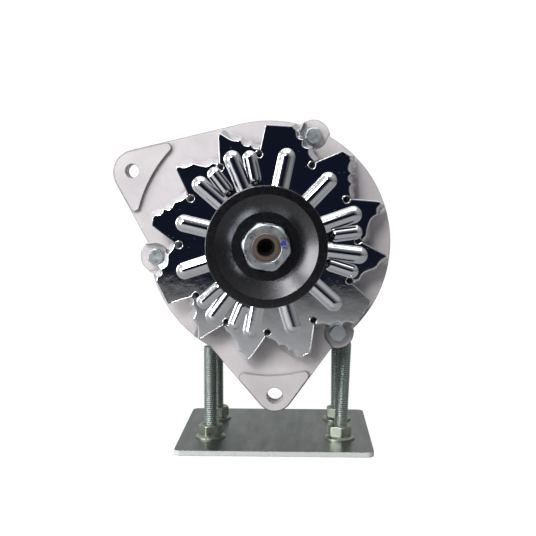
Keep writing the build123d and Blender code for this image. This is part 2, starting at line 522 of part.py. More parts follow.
with BuildPart() as pulley:
    with BuildSketch(PROFILE):
        with BuildLine():
            Polyline((PULLEY_BACK_U, SHAFT_RADIUS), (PULLEY_BACK_U, PULLEY_RADIUS),
                     (PULLEY_FRONT_U, PULLEY_RADIUS), (PULLEY_FRONT_U, RIM_FACE_INNER),
                     (hub_front_u, CONE_INNER), (hub_front_u, SHAFT_RADIUS),
                     close=True)
        make_face()
        with BuildLine():
            Polyline((groove_middle_u - GROOVE_TOP_WIDTH / 2, PULLEY_RADIUS),
                     (groove_middle_u - groove_bottom_width / 2, PULLEY_RADIUS - GROOVE_DEPTH),
                     (groove_middle_u + groove_bottom_width / 2, PULLEY_RADIUS - GROOVE_DEPTH),
                     (groove_middle_u + GROOVE_TOP_WIDTH / 2, PULLEY_RADIUS), close=True)
        make_face(mode=Mode.SUBTRACT)
    revolve(axis=SHAFT_AXIS)
    circles = pulley.edges().filter_by(GeomType.CIRCLE)
    chamfer(circles.filter_by(lambda edge: abs(edge.radius - PULLEY_RADIUS) < 0.01), 0.8)
    with BuildSketch(key_middle.offset(-KEY_LENGTH)):
        with Locations((0, SHAFT_RADIUS)):
            Rectangle(KEY_WIDTH + 2 * KEY_CLEARANCE, 2 * KEY_STAND)
    extrude(amount=2 * KEY_LENGTH, mode=Mode.SUBTRACT)
write(pulley.part, "pulley")

with BuildPart() as woodruff_key:
    with Locations(Plane(origin=key_middle.from_local_coords((0, SHAFT_RADIUS, 0)), x_dir=(0, 1, 0),
                         z_dir=(1, 0, 0))):
        Cylinder(KEY_DIAMETER / 2 - KEY_CLEARANCE, KEY_WIDTH - 2 * KEY_CLEARANCE)
    with BuildSketch(key_middle.offset(-KEY_DIAMETER)):
        with Locations((0, SHAFT_RADIUS + KEY_STAND - KEY_CLEARANCE - KEY_DIAMETER / 2)):
            Rectangle(KEY_WIDTH, KEY_DIAMETER)
    extrude(amount=2 * KEY_DIAMETER, mode=Mode.INTERSECT)
write(woodruff_key.part, "woodruff_key")

with BuildPart() as pulley_washer:
    with BuildSketch(station(hub_front_u)):
        Circle(LOCK_WASHER_DIAMETER / 2)
        Circle(SHAFT_THREAD_DIAMETER / 2, mode=Mode.SUBTRACT)
        with Locations((LOCK_WASHER_DIAMETER / 2, 0)):
            Rectangle(LOCK_WASHER_DIAMETER, LOCK_WASHER_SPLIT, mode=Mode.SUBTRACT)
    extrude(amount=LOCK_WASHER_THICKNESS)
write(pulley_washer.part, "pulley_washer")

nut_back_u = hub_front_u - LOCK_WASHER_THICKNESS
with BuildPart() as pulley_nut:
    with BuildSketch(station(nut_back_u)):
        RegularPolygon(NUT_FLATS * flats_to_radius, 6, rotation=NUT_TURN)
    extrude(amount=NUT_HEIGHT)
    # Both ends of a hexagon nut are turned back to the flats.
    with BuildSketch(PROFILE):
        with BuildLine():
            Polyline((nut_back_u, 0), (nut_back_u, NUT_FLATS / 2),
                     (nut_back_u - NUT_CHAMFER, NUT_FLATS * flats_to_radius),
                     (nut_back_u - NUT_HEIGHT + NUT_CHAMFER, NUT_FLATS * flats_to_radius),
                     (nut_back_u - NUT_HEIGHT, NUT_FLATS / 2), (nut_back_u - NUT_HEIGHT, 0), close=True)
        make_face()
    revolve(axis=SHAFT_AXIS, mode=Mode.INTERSECT)
    with BuildSketch(station(nut_back_u)):
        Circle(SHAFT_THREAD_DIAMETER / 2)
    extrude(amount=NUT_HEIGHT, mode=Mode.SUBTRACT)
write(pulley_nut.part, "pulley_nut")

with BuildPart() as fan_spacer:
    with BuildSketch(PROFILE):
        band(FAN_FRONT_U + FAN_SHEET, FRONT_BEARING_U, SHAFT_RADIUS, FRONT_BEARING_BORE / 2 + SPACER_WALL)
    revolve(axis=SHAFT_AXIS)
write(fan_spacer.part, "fan_spacer")

with BuildPart() as pulley_spacer:
    with BuildSketch(PROFILE):
        band(PULLEY_BACK_U, FAN_FRONT_U, SHAFT_RADIUS, PULLEY_SPACER_RADIUS)
    revolve(axis=SHAFT_AXIS)
write(pulley_spacer.part, "pulley_spacer")

# ---- fan -----------------------------------------------------------------------------------------
fan_teeth = [(angle + 360 / FAN_REPEATS * i, lead) for i in range(FAN_REPEATS) for angle, lead in FAN_TEETH]


def bend_line(next_hole):
    """Points of a tooth's wavy bend, from the tooth tip in to the next relief hole."""
    tip = Vector(*clock(FAN_TIP_RADIUS, next_hole - FAN_VANE_ANGLE))
    root = Vector(*clock(FAN_HOLE_CIRCLE + FAN_HOLE_RADIUS, next_hole))
    side = (root - tip).normalized().rotate(Axis.Z, 90)
    steps = 4 * VANE_WAVES
    return [tip + (root - tip) * (i / steps) + side * (VANE_WAVE_HEIGHT * math.sin(math.pi * i / 2))
            for i in range(steps + 1)]


with BuildPart() as fan:
    with BuildSketch(station(FAN_FRONT_U + FAN_SHEET)):
        with BuildLine():
            for i, (hole, lead) in enumerate(fan_teeth):
                next_hole = fan_teeth[i + 1][0] if i + 1 < len(fan_teeth) else fan_teeth[0][0] + 360
                points = bend_line(next_hole)
                tip_start = clock(FAN_TIP_RADIUS, hole + lead)
                tip_middle = clock(FAN_TIP_RADIUS, (hole + lead + next_hole - FAN_VANE_ANGLE) / 2)
                Line(clock(FAN_HOLE_CIRCLE + FAN_HOLE_RADIUS, hole), tip_start)
                ThreePointArc(tip_start, tip_middle, points[0])
                Spline(*points)
        make_face()
        with Locations(*[clock(FAN_HOLE_CIRCLE, hole) for hole, lead in fan_teeth]):
            Circle(FAN_HOLE_RADIUS, mode=Mode.SUBTRACT)
        Circle(FAN_BORE_RADIUS, mode=Mode.SUBTRACT)
    extrude(amount=FAN_SHEET)
    # Vanes are bent back along the wavy line.
    for hole, lead in fan_teeth:
        outer = bend_line(hole)[:-1]
        sideways = (outer[-1] - outer[0]).normalized().rotate(Axis.Z, 90)
        lean = sideways * math.cos(math.radians(FAN_BEND_DEGREES))
        with BuildSketch(station(FAN_FRONT_U)):
            with BuildLine():
                edge = Spline(*outer)
                back = Spline(*[point - sideways * FAN_SHEET for point in outer])
                Line(edge @ 0, back @ 0)
                Line(edge @ 1, back @ 1)
            make_face()
        extrude(amount=FAN_VANE_LENGTH, dir=(lean.X, math.sin(math.radians(FAN_BEND_DEGREES)), lean.Y))
    # Stiffening beads are pressed forwards and are hollow behind.
    for wall, start_u, end_u, mode in (
            (0, FAN_FRONT_U, FAN_FRONT_U - BEAD_HEIGHT, Mode.ADD),
            (BEAD_WALL, FAN_FRONT_U + FAN_SHEET, FAN_FRONT_U - BEAD_HEIGHT + BEAD_WALL, Mode.SUBTRACT)):
        with BuildSketch(station(start_u)):
            for angle, inner, outer, width in [
                    (angle + 360 / FAN_REPEATS * i, inner, outer, width)
                    for i in range(FAN_REPEATS) for angle, inner, outer, width in FAN_BEADS]:
                middle = clock((inner + outer) / 2, angle)
                with Locations(Location(middle + (0,), (0, 0, 90 - angle))):
                    SlotOverall(outer - inner - 2 * wall, width - 2 * wall)
        extrude(amount=start_u - end_u, mode=mode)
write(fan.part, "fan")

# ---- slip-ring end bracket -----------------------------------------------------------------------
post_spots = [polar(POST_CIRCLE, angle) for angle in POST_ANGLES]
cover_spots = [polar(COVER_STUD_CIRCLE, angle) for angle in COVER_STUD_ANGLES]

rear_hub_outer = REAR_BEARING_OUTER / 2 + HUB_WALL
rear_bore = SLIP_RING_RADIUS + 2
with BuildPart() as rear_bracket:
    with BuildSketch(station(REAR_FACE_U)):
        Circle(BODY_RADIUS)
        with Locations(*bolt_spots):
            Circle(LUG_RADIUS)
    extrude(amount=REAR_BRACKET_DEPTH)
    with BuildSketch(station(REAR_FACE_U - REAR_WALL)):
        Circle(body_inner)
        Circle(rear_hub_outer, mode=Mode.SUBTRACT)
        with Locations(*bolt_spots):
            Circle(BOLT_HOLE_DIAMETER / 2 + 3, mode=Mode.SUBTRACT)
    extrude(amount=REAR_BRACKET_DEPTH - REAR_WALL, mode=Mode.SUBTRACT)
    with BuildSketch(PROFILE):
        band(REAR_BRACKET_U, REAR_BEARING_U - 2, 0, rear_hub_outer)
        band(REAR_BEARING_U - 2, REAR_BEARING_U + REAR_BEARING_WIDTH, 0, REAR_BEARING_OUTER / 2)
        band(REAR_BEARING_U, REAR_FACE_U, 0, rear_bore)
    revolve(axis=SHAFT_AXIS, mode=Mode.SUBTRACT)
    with BuildSketch(station(REAR_FACE_U)):
        add(vents(REAR_SLOT_COUNT, body_inner - REAR_WINDOW_INSET - REAR_WINDOW_DEPTH,
                  body_inner - REAR_WINDOW_INSET, REAR_SLOT_WIDTH))
        with Locations(*bolt_spots):
            Circle(BOSS_RADIUS + 2, mode=Mode.SUBTRACT)
    extrude(amount=REAR_WALL, mode=Mode.SUBTRACT)
    slot_middle_u = (REAR_BRACKET_U + REAR_FACE_U) / 2
    for i in range(REAR_SLOT_COUNT):
        angle = BOLT_FIRST_ANGLE + 360 / REAR_SLOT_COUNT * (i + 0.5)
        with BuildSketch(outward(slot_middle_u, body_inner - 2, angle)):
            SlotOverall(REAR_SLOT_LENGTH, REAR_SLOT_WIDTH)
        extrude(amount=2 * BODY_WALL, mode=Mode.SUBTRACT)
    with BuildSketch(station(REAR_FACE_U)):
        with Locations(*bolt_spots):
            Circle(BOLT_HOLE_DIAMETER / 2)
        with Locations(*post_spots):
            Circle(POST_SCREW_DIAMETER / 2)
        with Locations(*cover_spots):
            Circle(COVER_STUD_DIAMETER / 2)
    extrude(amount=REAR_BRACKET_DEPTH, mode=Mode.SUBTRACT)
write(rear_bracket.part, "rear_bracket")

# ---- through bolts -------------------------------------------------------------------------------
with BuildPart() as through_bolt_washers:
    with BuildSketch(station(POCKET_DEPTH)):
        with Locations(*bolt_spots):
            Circle(BOLT_WASHER_DIAMETER / 2)
            Circle(BOLT_DIAMETER / 2, mode=Mode.SUBTRACT)
    extrude(amount=BOLT_WASHER_THICKNESS)
write(through_bolt_washers.part, "through_bolt_washers")

bolt_head_u = POCKET_DEPTH - BOLT_WASHER_THICKNESS
with BuildPart() as through_bolts:
    with BuildSketch(station(REAR_FACE_U + BOLT_NUT_HEIGHT + BOLT_THREAD_PAST_NUT)):
        with Locations(*bolt_spots):
            Circle(BOLT_DIAMETER / 2)
    extrude(amount=REAR_FACE_U + BOLT_NUT_HEIGHT + BOLT_THREAD_PAST_NUT - bolt_head_u)
    with BuildSketch(station(bolt_head_u)):
        with Locations(*bolt_spots):
            RegularPolygon(BOLT_HEAD_FLATS * flats_to_radius, 6)
    extrude(amount=BOLT_HEAD_HEIGHT)
write(through_bolts.part, "through_bolts")

with BuildPart() as through_bolt_nuts:
    with BuildSketch(station(REAR_FACE_U + BOLT_NUT_HEIGHT)):
        with Locations(*bolt_spots):
            RegularPolygon(BOLT_HEAD_FLATS * flats_to_radius, 6)
            Circle(BOLT_DIAMETER / 2, mode=Mode.SUBTRACT)
    extrude(amount=BOLT_NUT_HEIGHT)
write(through_bolt_nuts.part, "through_bolt_nuts")

# ---- rectifier -----------------------------------------------------------------------------------
diode_spots = [polar(POST_CIRCLE, angle) for angle in DIODE_ANGLES]
positive_u = REAR_FACE_U + RECTIFIER_THICKNESS + RECTIFIER_GAP
positive_back_u = positive_u + RECTIFIER_THICKNESS


def heat_sink(front_u, name):
    """Open rectifier ring with screw holes; the opening at the top leaves room for the brushes."""
    reach = 2 * RECTIFIER_OUTER
    half = RECTIFIER_OPENING / 2
    with BuildPart() as plate:
        with BuildSketch(station(front_u + RECTIFIER_THICKNESS)):
            Circle(RECTIFIER_OUTER)
            Circle(RECTIFIER_INNER, mode=Mode.SUBTRACT)
            with BuildLine():
                Polyline((0, 0), polar(reach, 90 - half), polar(reach, 90 + half), close=True)
            make_face(mode=Mode.SUBTRACT)
            with Locations(*post_spots):
                Circle(POST_SCREW_DIAMETER / 2, mode=Mode.SUBTRACT)
        extrude(amount=RECTIFIER_THICKNESS)
    write(plate.part, name)


def discs(name, front_u, depth, spots, diameter, bore=0):
    """Equal round pieces at several spots, from front_u back."""
    with BuildPart() as pieces:
        with BuildSketch(station(front_u + depth)):
            with Locations(*spots):
                Circle(diameter / 2)
                if bore:
                    Circle(bore / 2, mode=Mode.SUBTRACT)
        extrude(amount=depth)
    write(pieces.part, name)


heat_sink(REAR_FACE_U, "negative_heat_sink")
heat_sink(positive_u, "positive_heat_sink")
discs("rectifier_insulators", REAR_FACE_U + RECTIFIER_THICKNESS, RECTIFIER_GAP, post_spots, POST_DIAMETER,
      POST_SCREW_DIAMETER)
discs("negative_diodes", REAR_FACE_U + RECTIFIER_THICKNESS, DIODE_HEIGHT, diode_spots, DIODE_DIAMETER)
discs("positive_diodes", positive_back_u, DIODE_HEIGHT, diode_spots, DIODE_DIAMETER)

with BuildPart() as rectifier_screws:
    with BuildSketch(station(positive_back_u)):
        with Locations(*post_spots):
            Circle(POST_SCREW_DIAMETER / 2)
    extrude(amount=positive_back_u - REAR_FACE_U + REAR_WALL)
    with BuildSketch(station(positive_back_u + RETAINER_HEAD_HEIGHT)):
        with Locations(*post_spots):
            Circle(POST_SCREW_DIAMETER)
    extrude(amount=RETAINER_HEAD_HEIGHT)
write(rectifier_screws.part, "rectifier_screws")

# ---- brushes and regulator -----------------------------------------------------------------------
ring_pitch = SLIP_RING_WIDTH + SLIP_RING_GAP
brush_stations = [SLIP_RING_U + SLIP_RING_WIDTH / 2 + i * ring_pitch for i in range(2)]
brush_foot = SLIP_RING_RADIUS + BALL_CLEARANCE
holder_foot = brush_foot + 1
holder_back_u = slip_rings_back + HOLDER_WALL
pocket = BRUSH_SIZE + 2 * BRUSH_CLEARANCE

with BuildPart() as brush_holder:
    with BuildSketch(station(holder_back_u)):
        with Locations((0, holder_foot + HOLDER_HEIGHT / 2)):
            Rectangle(HOLDER_WIDTH, HOLDER_HEIGHT)
    extrude(amount=holder_back_u - REAR_FACE_U)
    for middle_u in brush_stations:
        with BuildSketch(station(middle_u + pocket / 2)):
            with Locations((0, holder_foot + (HOLDER_HEIGHT - HOLDER_WALL) / 2)):
                Rectangle(pocket, HOLDER_HEIGHT - HOLDER_WALL)
        extrude(amount=pocket, mode=Mode.SUBTRACT)
write(brush_holder.part, "brush_holder")

spring_foot = brush_foot + BRUSH_LENGTH + BALL_CLEARANCE + SPRING_WIRE / 2
spring_rise = holder_foot + HOLDER_HEIGHT - HOLDER_WALL - BALL_CLEARANCE - SPRING_WIRE / 2 - spring_foot

for name, middle_u in zip(("front_brush", "rear_brush"), brush_stations):
    with BuildPart() as brush:
        with BuildSketch(station(middle_u + BRUSH_SIZE / 2)):
            with Locations((0, brush_foot + BRUSH_LENGTH / 2)):
                Rectangle(BRUSH_SIZE, BRUSH_LENGTH)
        extrude(amount=BRUSH_SIZE)
    write(brush.part, name)
    with BuildPart() as spring:
        with BuildLine(Plane(origin=station(middle_u).from_local_coords((0, spring_foot, 0)))) as coil:
            Helix(spring_rise / SPRING_TURNS, spring_rise, (SPRING_DIAMETER - SPRING_WIRE) / 2)
        with BuildSketch(Plane(origin=coil.line @ 0, z_dir=coil.line % 0)):
            Circle(SPRING_WIRE / 2)
        sweep()
    write(spring.part, f"{name}_spring")

with BuildPart() as voltage_regulator:
    with BuildSketch(station(REAR_FACE_U + REGULATOR_DEPTH)):
        with Locations((0, holder_foot + HOLDER_HEIGHT + REGULATOR_HEIGHT / 2)):
            Rectangle(REGULATOR_WIDTH, REGULATOR_HEIGHT)
    extrude(amount=REGULATOR_DEPTH)
    chamfer(voltage_regulator.edges().group_by(Axis.Y)[-1], 1)
write(voltage_regulator.part, "voltage_regulator")

# ---- rear cover and battery terminal -------------------------------------------------------------
terminal_spot = polar(TERMINAL_CIRCLE, TERMINAL_ANGLE)

with BuildPart() as rear_cover:
    with BuildSketch(station(COVER_BACK_U)):
        Circle(COVER_RADIUS)
    extrude(amount=COVER_DEPTH)
    fillet(rear_cover.edges().group_by(Axis.Y)[-1], COVER_CORNER)
    with BuildSketch(station(COVER_BACK_U - COVER_WALL)):
        Circle(COVER_RADIUS - COVER_WALL)
    extrude(amount=COVER_DEPTH - COVER_WALL, mode=Mode.SUBTRACT)
    with BuildSketch(station(COVER_BACK_U)):
        with PolarLocations((SHAFT_REAR_RADIUS + RECTIFIER_INNER) / 2, COVER_SLOT_COUNT):
            SlotOverall(RECTIFIER_INNER - SHAFT_REAR_RADIUS - COVER_SLOT_WIDTH, COVER_SLOT_WIDTH)
        with Locations(*cover_spots):
            Circle(COVER_STUD_DIAMETER / 2)
        with Locations(terminal_spot):
            Circle(INSULATOR_DIAMETER / 4 + TERMINAL_DIAMETER / 4)
    extrude(amount=COVER_WALL, mode=Mode.SUBTRACT)
write(rear_cover.part, "rear_cover")

discs("cover_studs", REAR_FACE_U - REAR_WALL, COVER_DEPTH + REAR_WALL + COVER_NUT_HEIGHT + 1, cover_spots,
      COVER_STUD_DIAMETER)
discs("battery_stud", positive_back_u, COVER_BACK_U - positive_back_u + TERMINAL_REACH, [terminal_spot],
      TERMINAL_DIAMETER)
discs("battery_insulator", COVER_BACK_U, INSULATOR_HEIGHT, [terminal_spot], INSULATOR_DIAMETER,
      TERMINAL_DIAMETER)


def hex_nuts(name, front_u, height, spots, flats, bore):
    """Hexagon nuts on studs, from front_u back."""
    with BuildPart() as nuts:
        with BuildSketch(station(front_u + height)):
            with Locations(*spots):
                RegularPolygon(flats * flats_to_radius, 6)
                Circle(bore / 2, mode=Mode.SUBTRACT)
        extrude(amount=height)
    write(nuts.part, name)


hex_nuts("cover_nuts", COVER_BACK_U, COVER_NUT_HEIGHT, cover_spots, COVER_NUT_FLATS, COVER_STUD_DIAMETER)
hex_nuts("battery_nut", COVER_BACK_U + INSULATOR_HEIGHT, TERMINAL_NUT_HEIGHT, [terminal_spot],
         TERMINAL_NUT_FLATS,
         TERMINAL_DIAMETER)
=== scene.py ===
"""Looks of an externally fanned alternator on its display stand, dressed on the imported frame."""

import json
import math

import bmesh
import bpy
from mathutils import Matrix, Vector


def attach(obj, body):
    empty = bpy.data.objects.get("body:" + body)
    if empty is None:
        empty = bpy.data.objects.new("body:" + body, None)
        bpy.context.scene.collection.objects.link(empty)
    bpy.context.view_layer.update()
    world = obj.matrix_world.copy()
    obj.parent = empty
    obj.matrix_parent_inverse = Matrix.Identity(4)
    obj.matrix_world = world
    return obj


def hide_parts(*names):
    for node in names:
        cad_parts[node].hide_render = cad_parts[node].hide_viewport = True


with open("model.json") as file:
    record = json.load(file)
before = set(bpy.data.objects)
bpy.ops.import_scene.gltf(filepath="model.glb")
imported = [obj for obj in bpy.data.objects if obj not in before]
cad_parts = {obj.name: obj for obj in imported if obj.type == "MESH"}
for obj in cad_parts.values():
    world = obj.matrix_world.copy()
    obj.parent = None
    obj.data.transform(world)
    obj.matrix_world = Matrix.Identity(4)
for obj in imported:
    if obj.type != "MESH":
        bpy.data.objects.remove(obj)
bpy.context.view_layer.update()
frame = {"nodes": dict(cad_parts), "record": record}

MM = 0.001
SHAFT = Vector((-3.0, -41.5, 122.0))  # shaft axis at the bracket's front face
FAN_U, FAN_SHEET = -12.0, 1.6
HOLE_CIRCLE, HOLE_RADIUS, TIP_RADIUS = 49.9, 2.2, 66.0
BORE_RADIUS = 8.6
HOLE_MOUTH = 1.2  # degrees past a relief hole's middle at which the next tooth's flank starts
# One third of the fan: relief hole angles and where each tooth's tip starts after them, clockwise.
TEETH = [(-5.8, 4.8), (29.2, 9.7), (60.4, 10.1), (87.9, 7.5)]
TIP_END = 17.2  # a tooth's tip ends about this many degrees before the next relief hole
# Beads of the same third: angle, inner radius, outer radius and width.
BEADS = [(12.0, 24.0, 53.3, 8.0), (43.6, 24.0, 52.4, 8.0), (71.0, 24.0, 54.0, 8.0),
         (82.3, 35.0, 52.0, 6.4), (97.0, 24.0, 55.0, 8.0), (108.0, 34.0, 52.0, 6.4)]


def at(x, z, u):
    """Row-frame point in metres, from millimetres right of, above and behind the face's centre."""
    return Vector((SHAFT.x + x, SHAFT.y + u, SHAFT.z + z)) * MM


def clock(radius, angle):
    """Point at radius and clockwise angle from the top."""
    return Vector((radius * math.sin(math.radians(angle)), radius * math.cos(math.radians(angle))))


# ---- materials -----------------------------------------------------------------------------------


class Surface:
    """Node material with a principled shader and helpers for procedural detail."""

    def __init__(self, name, color, metallic, roughness, **inputs):
        self.material = bpy.data.materials.new(name)
        self.material.use_nodes = True
        self.tree = self.material.node_tree
        self.shader = self.tree.nodes["Principled BSDF"]
        self.set(self.shader, "Base Color", (*color, 1))
        self.set(self.shader, "Metallic", metallic)
        self.set(self.shader, "Roughness", roughness)
        for key, value in inputs.items():
            self.set(self.shader, key.replace("_", " "), value)
        self.normal = None
        self.coords = self.tree.nodes.new("ShaderNodeTexCoord").outputs["Object"]

    def set(self, node, socket, value):
        node.inputs[socket].default_value = value

    def node(self, kind, **inputs):
        made = self.tree.nodes.new(kind)
        for key, value in inputs.items():
            made.inputs[key.replace("_", " ")].default_value = value
        return made

    def link(self, start, end):
        self.tree.links.new(start, end)

    def scaled(self, scale):
        mapping = self.node("ShaderNodeMapping")
        mapping.inputs["Scale"].default_value = scale
        self.link(self.coords, mapping.inputs["Vector"])
        return mapping.outputs["Vector"]

    def noise(self, scale, detail=3.0, stretch=(1, 1, 1), rough=0.5):
        made = self.node("ShaderNodeTexNoise", Scale=scale, Detail=detail, Roughness=rough)
        self.link(self.scaled(stretch), made.inputs["Vector"])
        return made.outputs["Fac"]

    def edges(self, radius):
        """Rounds sharp edges in the shading."""
        made = self.node("ShaderNodeBevel", Radius=radius)
        made.samples = 6
        if self.normal:
            self.link(self.normal, made.inputs["Normal"])
        self.normal = made.outputs["Normal"]
        self.link(self.normal, self.shader.inputs["Normal"])

    def tint(self, shade_value, strength=1.0):
        """Multiplies the base colour, which already has a texture, by a shade."""
        mixed = self.node("ShaderNodeMixRGB", Fac=strength)
        mixed.blend_type = "MULTIPLY"
        self.link(self.shader.inputs["Base Color"].links[0].from_socket, mixed.inputs["Color1"])
        self.link(shade_value, mixed.inputs["Color2"])
        self.link(mixed.outputs["Color"], self.shader.inputs["Base Color"])

    def vector_math(self, operation, first, second=None):
        """Vector math node on a socket, with a second socket or a constant."""
        made = self.node("ShaderNodeVectorMath")
        made.operation = operation
        self.link(first, made.inputs[0])
        if isinstance(second, bpy.types.NodeSocket):
            self.link(second, made.inputs[1])
        elif second is not None:
            made.inputs[1].default_value = second
        return made

    def map_range(self, value, start, end, low=0.0, high=1.0):
        """Value mapped from start..end to low..high."""
        made = self.node("ShaderNodeMapRange", From_Min=start, From_Max=end, To_Min=low, To_Max=high)
        self.link(value, made.inputs["Value"])
        return made.outputs["Result"]

    def from_shaft(self):
        """Distance from the shaft's axis in metres."""
        shift = self.vector_math("SUBTRACT", self.coords, SHAFT * MM)
        flat = self.vector_math("MULTIPLY", shift.outputs["Vector"], (1, 0, 1))
        return self.vector_math("LENGTH", flat.outputs["Vector"]).outputs["Value"]

    def painted_edge_shade(self, radius, depth):
        """Painted shade: darkens the colour in a narrow band along every edge, as a dark outline of
        shade.
        """
        softened = self.node("ShaderNodeBevel", Radius=radius)
        softened.samples = 8
        geometry = self.node("ShaderNodeNewGeometry")
        match = self.vector_math("DOT_PRODUCT", softened.outputs["Normal"], geometry.outputs["Normal"])
        self.tint(self.map_range(match.outputs["Value"], 0.86, 0.99, 1 - depth))

    def painted_shade_behind_fan(self, depth):
        """Painted shade: darkens the casting's colour behind the fan's disc, where the fan shades it.
        """
        self.tint(self.map_range(self.from_shaft(), 0.0515, 0.058, 1 - depth))

    def painted_crease_shade(self, distance, depth):
        """Painted shade: darkens the colour in inside corners, by ambient occlusion."""
        shade_value = self.node("ShaderNodeAmbientOcclusion", Distance=distance)
        shade_value.samples = 6
        self.tint(shade_value.outputs["AO"], depth)

    def bump(self, height, distance, strength=1.0):
        made = self.node("ShaderNodeBump", Distance=distance, Strength=strength)
        self.link(height, made.inputs["Height"])
        if self.normal:
            self.link(self.normal, made.inputs["Normal"])
        self.normal = made.outputs["Normal"]
        self.link(self.normal, self.shader.inputs["Normal"])

    def ramp(self, factor, stops, socket):
        """Colours or grey values along a factor, into a shader socket."""
        made = self.node("ShaderNodeValToRGB")
        elements = made.color_ramp.elements
        while len(elements) < len(stops):
            elements.new(0.5)
        for element, (place, value) in zip(elements, stops):
            element.position = place
            element.color = (*value, 1) if isinstance(value, tuple) else (value, value, value, 1)
        self.link(factor, made.inputs["Fac"])
        self.link(made.outputs["Color"], self.shader.inputs[socket])


def cast_aluminium():
    made = Surface("cast_aluminium", (0.55, 0.53, 0.54), 0.35, 0.62)
    greys = [(0.3, (0.58, 0.55, 0.565)), (0.7, (0.68, 0.65, 0.66))]
    made.ramp(made.noise(60, 4), greys, "Base Color")
    # Painted shade along the casting's edges.
    made.painted_edge_shade(0.0009, 0.62)
    # Painted shade behind the fan's disc.
    made.painted_shade_behind_fan(0.9)
    made.ramp(made.noise(900, 2), [(0.3, 0.5), (0.7, 0.7)], "Roughness")
    made.edges(0.0004)
    made.bump(made.noise(1400, 4, rough=0.7), 0.00012, 0.55)
    # Painted shade in the casting's inside corners.
    made.painted_crease_shade(0.0022, 0.45)
    return made.material


def zinc(name, color, roughness):
    """Zinc plating with faint mottling."""
    made = Surface(name, color, 1.0, roughness)
    low = tuple(c * 0.9 for c in color)
    made.ramp(made.noise(150, 4), [(0.3, low), (0.7, color)], "Base Color")
    made.ramp(made.noise(400, 3), [(0.3, roughness * 0.8), (0.7, roughness * 1.3)], "Roughness")
    made.edges(0.0003)
    made.bump(made.noise(900, 3), 0.00004, 0.4)
    return made.material


def bright_plate():
    made = Surface("bright_plate", (0.80, 0.81, 0.84), 1.0, 0.07)
    specks = made.node("ShaderNodeTexVoronoi", Scale=260.0)
    made.link(made.coords, specks.inputs["Vector"])
    made.ramp(specks.outputs["Distance"], [(0.0, 0.45), (0.09, 0.07)], "Roughness")
    made.bump(made.noise(45, 2), 0.0006, 0.25)
    made.bump(made.noise(420, 3), 0.00006, 0.35)
    return made.material


def black_paint():
    made = Surface("black_coating", (0.075, 0.075, 0.08), 1.0, 0.26)
    made.ramp(made.noise(300, 3), [(0.3, 0.24), (0.7, 0.29)], "Roughness")
    made.bump(made.noise(700, 3), 0.00003, 0.3)
    return made.material


def plain(name, color, metallic, roughness, grain=600, depth=0.00005):
    made = Surface(name, color, metallic, roughness)
    low = tuple(c * 0.78 for c in color)
    made.ramp(made.noise(90, 4), [(0.3, low), (0.7, color)], "Base Color")
    made.ramp(made.noise(grain, 3), [(0.3, roughness * 0.85), (0.7, roughness * 1.2)], "Roughness")
    made.edges(0.0003)
    made.bump(made.noise(grain, 3), depth, 0.5)
    return made.material


def brushed_plate():
    """Rolled steel of the stand plate."""
    made = Surface("stand_steel", (0.44, 0.47, 0.45), 1.0, 0.32)
    tones = [(0.3, (0.17, 0.195, 0.19)), (0.7, (0.235, 0.26, 0.25))]
    made.ramp(made.noise(30, 3, (1, 0.15, 1)), tones, "Base Color")
    made.ramp(made.noise(220, 3, (1, 0.2, 1)), [(0.3, 0.25), (0.7, 0.38)], "Roughness")
    geometry = made.node("ShaderNodeNewGeometry")
    split_normal = made.node("ShaderNodeSeparateXYZ")
    made.link(geometry.outputs["True Normal"], split_normal.inputs["Vector"])
    # Faces that don't look up, such as the sheared edges, are paler and duller than the rolled top.
    sheared = made.node("ShaderNodeMixRGB", Color2=(0.64, 0.65, 0.64, 1))
    upright = made.node("ShaderNodeMath")
    upright.operation = "LESS_THAN"
    upright.inputs[1].default_value = 0.5
    made.link(split_normal.outputs["Z"], upright.inputs[0])
    made.link(upright.outputs["Value"], sheared.inputs["Fac"])
    made.link(made.shader.inputs["Base Color"].links[0].from_socket, sheared.inputs["Color1"])
    made.link(sheared.outputs["Color"], made.shader.inputs["Base Color"])
    metal = made.map_range(upright.outputs["Value"], 0.0, 1.0, 1.0, 0.1)
    made.link(metal, made.shader.inputs["Metallic"])
    # Painted shade along the plate's edges.
    made.painted_edge_shade(0.0008, 0.5)
    made.edges(0.0004)
    made.bump(made.noise(500, 3), 0.00005, 0.4)
    return made.material


def laminated_steel():
    made = Surface("laminated_steel", (0.20, 0.19, 0.18), 0.6, 0.45)
    waves = made.node("ShaderNodeTexWave", Scale=320.0, Distortion=0.3)
    waves.bands_direction = "Y"
    made.link(made.coords, waves.inputs["Vector"])
    made.ramp(made.noise(50, 3), [(0.3, (0.15, 0.14, 0.13)), (0.7, (0.24, 0.22, 0.21))], "Base Color")
    made.bump(waves.outputs["Fac"], 0.00015, 0.6)
    return made.material


ALUMINIUM = cast_aluminium()
ZINC = zinc("zinc_plate", (0.74, 0.80, 0.84), 0.30)
STUD = plain("stud_zinc", (0.36, 0.41, 0.385), 1.0, 0.40, 500, 0.00001)
YELLOW_ZINC = zinc("yellow_zinc", (0.42, 0.45, 0.38), 0.34)
PLATE = brushed_plate()
CHROME = bright_plate()
BLACK = black_paint()
STEEL = plain("bare_steel", (0.30, 0.27, 0.25), 1.0, 0.38)
LAMINATED = laminated_steel()
COPPER = plain("enamelled_copper", (0.42, 0.15, 0.06), 0.7, 0.35)
PLASTIC = plain("black_plastic", (0.025, 0.025, 0.027), 0.0, 0.5)
RED = plain("red_plastic", (0.40, 0.03, 0.025), 0.0, 0.4)
GRAPHITE = plain("graphite", (0.04, 0.04, 0.042), 0.2, 0.6)
BLUE = plain("witness_mark", (0.02, 0.025, 0.30), 0.0, 0.5)


